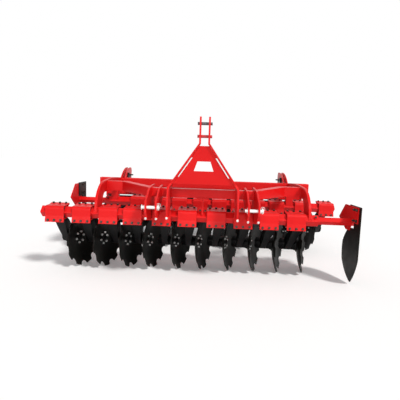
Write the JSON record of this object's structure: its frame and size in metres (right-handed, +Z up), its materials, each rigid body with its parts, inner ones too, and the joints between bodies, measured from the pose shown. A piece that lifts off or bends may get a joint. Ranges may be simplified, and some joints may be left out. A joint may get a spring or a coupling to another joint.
{
  "type": "mounted disc harrow",
  "caption": "Red three-point mounted disc harrow with two rows of notched black discs on rubber-sprung arms, a cage roller behind and leaf-shaped side deflectors.",
  "frame": {"origin": "on the floor, at the middle of the whole machine seen from above", "axes": "+X to the left of the machine seen from behind the tractor looking back, which is right in a front view; +Y to the rear, away from the tractor; +Z up"},
  "size_m": [3.123, 2.524, 1.472],
  "materials": {
    "red": "gloss enamel",
    "black": "semi-gloss enamel",
    "silver": "zinc plated",
    "rubber": "plain"
  },
  "bodies": {
    "frame": {"centre_strut": "red", "cross_frame_diagonals": "red", "cross_frame_ends": "red", "cross_frame_middle": "red", "front_arms": "black", "front_beam": "red", "front_housings": "red", "front_rubbers": "rubber", "hitch_plates_left": "red", "hitch_plates_right": "red", "lower_link_pin_left": "silver", "lower_link_pin_right": "silver", "rear_arms": "black", "rear_beam": "red", "rear_cross_beam": "red", "rear_housings": "red", "rear_posts": "red", "rear_rubbers": "rubber", "roller_bracket_left": "red", "roller_bracket_right": "red", "side_arch_left": "red", "side_arch_right": "red", "top_link_pins": "silver", "tower_panel": "red", "tower_side_left": "red", "tower_side_right": "red"},
    "front_disc_1": {"front_disc_1": "black"},
    "front_disc_2": {"front_disc_2": "black"},
    "front_disc_3": {"front_disc_3": "black"},
    "front_disc_4": {"front_disc_4": "black"},
    "front_disc_5": {"front_disc_5": "black"},
    "front_disc_6": {"front_disc_6": "black"},
    "front_disc_7": {"front_disc_7": "black"},
    "front_disc_8": {"front_disc_8": "black"},
    "front_disc_9": {"front_disc_9": "black"},
    "front_disc_10": {"front_disc_10": "black"},
    "rear_disc_1": {"rear_disc_1": "black"},
    "rear_disc_2": {"rear_disc_2": "black"},
    "rear_disc_3": {"rear_disc_3": "black"},
    "rear_disc_4": {"rear_disc_4": "black"},
    "rear_disc_5": {"rear_disc_5": "black"},
    "rear_disc_6": {"rear_disc_6": "black"},
    "rear_disc_7": {"rear_disc_7": "black"},
    "rear_disc_8": {"rear_disc_8": "black"},
    "rear_disc_9": {"rear_disc_9": "black"},
    "rear_disc_10": {"rear_disc_10": "black"},
    "roller_frame": {"roller_arms": "black", "roller_bearing_plates": "red", "roller_cross_tube": "red"},
    "roller": {"roller": "black"},
    "deflector_right": {"deflector_arm_right": "red", "deflector_blade_right": "black"},
    "deflector_left": {"deflector_arm_left": "red", "deflector_blade_left": "black"}
  },
  "joints": [
    {"name": "front_disc_1_turn", "type": "hinge", "parent": "frame", "child": "front_disc_1", "pos_m": [-1.2675, -0.583, 0.28], "axis": [0.9511, -0.309, 0], "continuous": true},
    {"name": "rear_disc_1_turn", "type": "hinge", "parent": "frame", "child": "rear_disc_1", "pos_m": [1.3525, 0.407, 0.28], "axis": [-0.9511, -0.309, 0], "continuous": true},
    {"name": "front_disc_2_turn", "type": "hinge", "parent": "frame", "child": "front_disc_2", "pos_m": [-1.0175, -0.583, 0.28], "axis": [0.9511, -0.309, 0], "continuous": true},
    {"name": "rear_disc_2_turn", "type": "hinge", "parent": "frame", "child": "rear_disc_2", "pos_m": [1.0675, 0.407, 0.28], "axis": [-0.9511, -0.309, 0], "continuous": true},
    {"name": "front_disc_3_turn", "type": "hinge", "parent": "frame", "child": "front_disc_3", "pos_m": [-0.7675, -0.583, 0.28], "axis": [0.9511, -0.309, 0], "continuous": true},
    {"name": "rear_disc_3_turn", "type": "hinge", "parent": "frame", "child": "rear_disc_3", "pos_m": [0.7655, 0.407, 0.28], "axis": [-0.9511, -0.309, 0], "continuous": true},
    {"name": "front_disc_4_turn", "type": "hinge", "parent": "frame", "child": "front_disc_4", "pos_m": [-0.5395, -0.583, 0.28], "axis": [0.9511, -0.309, 0], "continuous": true},
    {"name": "rear_disc_4_turn", "type": "hinge", "parent": "frame", "child": "rear_disc_4", "pos_m": [0.5375, 0.407, 0.28], "axis": [-0.9511, -0.309, 0], "continuous": true},
    {"name": "front_disc_5_turn", "type": "hinge", "parent": "frame", "child": "front_disc_5", "pos_m": [-0.2675, -0.583, 0.28], "axis": [0.9511, -0.309, 0], "continuous": true},
    {"name": "rear_disc_5_turn", "type": "hinge", "parent": "frame", "child": "rear_disc_5", "pos_m": [0.3075, 0.407, 0.28], "axis": [-0.9511, -0.309, 0], "continuous": true},
    {"name": "front_disc_6_turn", "type": "hinge", "parent": "frame", "child": "front_disc_6", "pos_m": [-0.0295, -0.583, 0.28], "axis": [0.9511, -0.309, 0], "continuous": true},
    {"name": "rear_disc_6_turn", "type": "hinge", "parent": "frame", "child": "rear_disc_6", "pos_m": [0.0825, 0.407, 0.28], "axis": [-0.9511, -0.309, 0], "continuous": true},
    {"name": "front_disc_7_turn", "type": "hinge", "parent": "frame", "child": "front_disc_7", "pos_m": [0.2405, -0.583, 0.28], "axis": [0.9511, -0.309, 0], "continuous": true},
    {"name": "rear_disc_7_turn", "type": "hinge", "parent": "frame", "child": "rear_disc_7", "pos_m": [-0.1425, 0.407, 0.28], "axis": [-0.9511, -0.309, 0], "continuous": true},
    {"name": "front_disc_8_turn", "type": "hinge", "parent": "frame", "child": "front_disc_8", "pos_m": [0.4905, -0.583, 0.28], "axis": [0.9511, -0.309, 0], "continuous": true},
    {"name": "rear_disc_8_turn", "type": "hinge", "parent": "frame", "child": "rear_disc_8", "pos_m": [-0.3925, 0.407, 0.28], "axis": [-0.9511, -0.309, 0], "continuous": true},
    {"name": "front_disc_9_turn", "type": "hinge", "parent": "frame", "child": "front_disc_9", "pos_m": [0.7325, -0.583, 0.28], "axis": [0.9511, -0.309, 0], "continuous": true},
    {"name": "rear_disc_9_turn", "type": "hinge", "parent": "frame", "child": "rear_disc_9", "pos_m": [-0.6425, 0.407, 0.28], "axis": [-0.9511, -0.309, 0], "continuous": true},
    {"name": "front_disc_10_turn", "type": "hinge", "parent": "frame", "child": "front_disc_10", "pos_m": [0.9825, -0.583, 0.28], "axis": [0.9511, -0.309, 0], "continuous": true},
    {"name": "rear_disc_10_turn", "type": "hinge", "parent": "frame", "child": "rear_disc_10", "pos_m": [-0.8925, 0.407, 0.28], "axis": [-0.9511, -0.309, 0], "continuous": true},
    {"name": "roller_height", "type": "hinge", "parent": "frame", "child": "roller_frame", "pos_m": [0, 0.225, 0.806], "axis": [1, 0, 0], "range_deg": [-9.5, 4]},
    {"name": "roller_turn", "type": "hinge", "parent": "roller_frame", "child": "roller", "pos_m": [0, 1.015, 0.4], "axis": [1, 0, 0], "continuous": true},
    {"name": "deflector_right_slide", "type": "slide", "parent": "frame", "child": "deflector_right", "axis": [1, 0, 0], "range_m": [-0.1, 0.1]},
    {"name": "deflector_left_slide", "type": "slide", "parent": "frame", "child": "deflector_left", "axis": [-1, 0, 0], "range_m": [-0.1, 0.1]}
  ]
}
